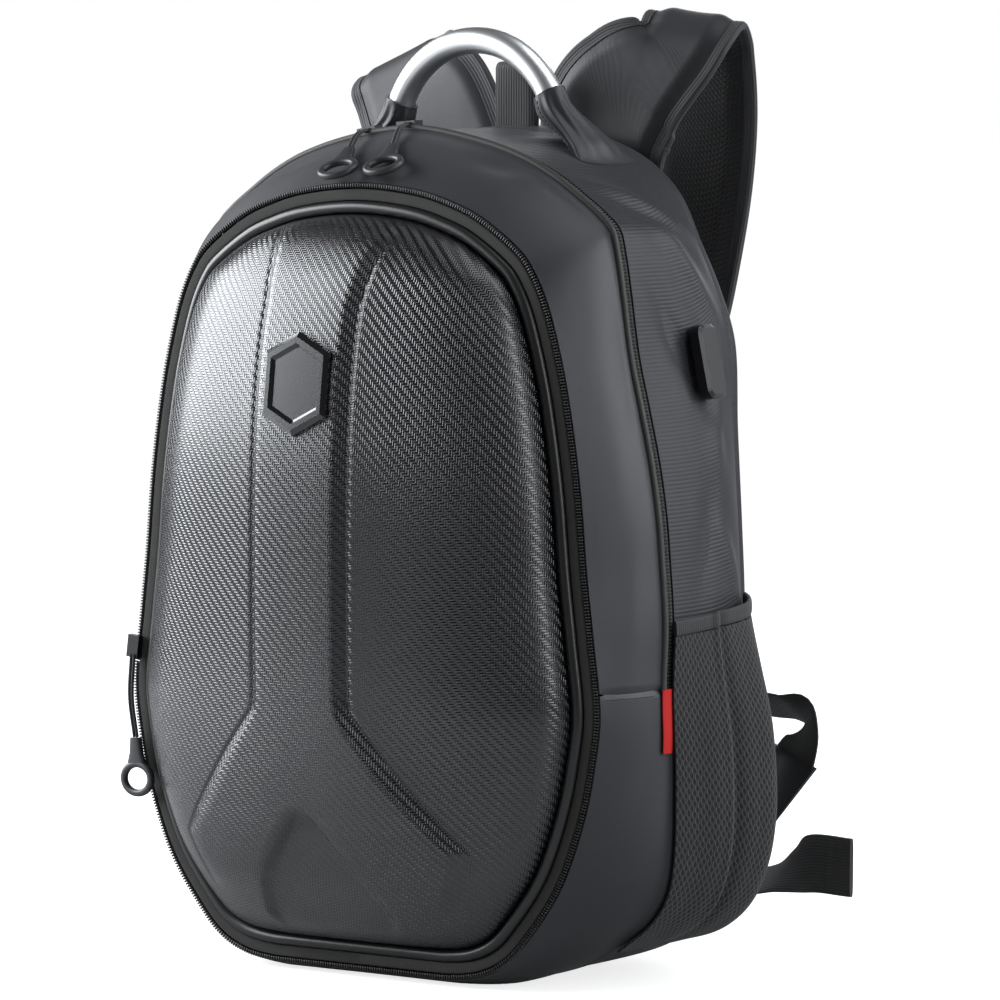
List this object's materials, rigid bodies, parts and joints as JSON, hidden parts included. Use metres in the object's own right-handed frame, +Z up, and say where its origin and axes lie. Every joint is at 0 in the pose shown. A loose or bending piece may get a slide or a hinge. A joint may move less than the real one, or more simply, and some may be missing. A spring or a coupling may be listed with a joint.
{
  "type": "hard shell backpack",
  "caption": "Backpack with a moulded carbon-look front shell, side net pockets, a tube carry handle and padded shoulder straps, standing on its base.",
  "frame": {"origin": "middle of the flat underside, under the body and on the floor it stands on", "axes": "+Z up, moulded front towards -Y, wearer's back towards +Y, +X towards the viewer's right when the front is looked at"},
  "size_m": [0.3966, 0.3052, 0.5543],
  "materials": {
    "shell": "moulded shell with a raised carbon-look twill, semi-gloss",
    "piping": "smooth glossy edge piping",
    "tape": "woven zip tape, matte",
    "teeth": "moulded coil zip teeth",
    "cloth": "satin coated cloth, charcoal",
    "rib": "cloth with a fine horizontal rib, charcoal",
    "net": "open spacer mesh, dark grey",
    "pad": "foam-filled cloth padding, dark grey",
    "webbing": "woven nylon webbing and cord, black",
    "label": "folded woven tab, red",
    "plastic": "moulded black plastic",
    "badge": "mirror-gloss black badge",
    "metal": "bright satin tube",
    "rubber": "soft moulded rubber, grey"
  },
  "bodies": {
    "root": {"front_shell": "shell", "shell_zip_teeth": "teeth", "shell_zip_tape": "tape", "shell_piping": "piping", "rear_wall": "rib", "gusset_upper": "cloth", "gusset_lower": "cloth", "main_zip_tape": "tape", "main_zip_teeth": "teeth", "back_panel": "pad", "badge": "badge", "charging_port": "plastic", "label_tab": "label", "handle_tube": "metal", "hang_loop": "webbing", "pocket_net_right": "net", "pocket_hem_right": "webbing", "handle_sleeve_right": "cloth", "strap_pad_right": "pad", "strap_buckle_right": "plastic", "strap_webbing_right": "webbing", "webbing_tail_right": "webbing", "wing_tab_right": "pad", "pocket_net_left": "net", "pocket_hem_left": "webbing", "handle_sleeve_left": "cloth", "strap_pad_left": "pad", "strap_buckle_left": "plastic", "strap_webbing_left": "webbing", "webbing_tail_left": "webbing", "wing_tab_left": "pad", "zip_slider_main_a": "plastic", "pull_cord_main_a": "webbing", "pull_ring_main_a": "rubber", "zip_slider_main_b": "plastic", "pull_cord_main_b": "webbing", "pull_ring_main_b": "rubber", "zip_slider_shell": "plastic", "pull_cord_shell": "webbing", "pull_ring_shell": "rubber"}
  },
  "joints": []
}
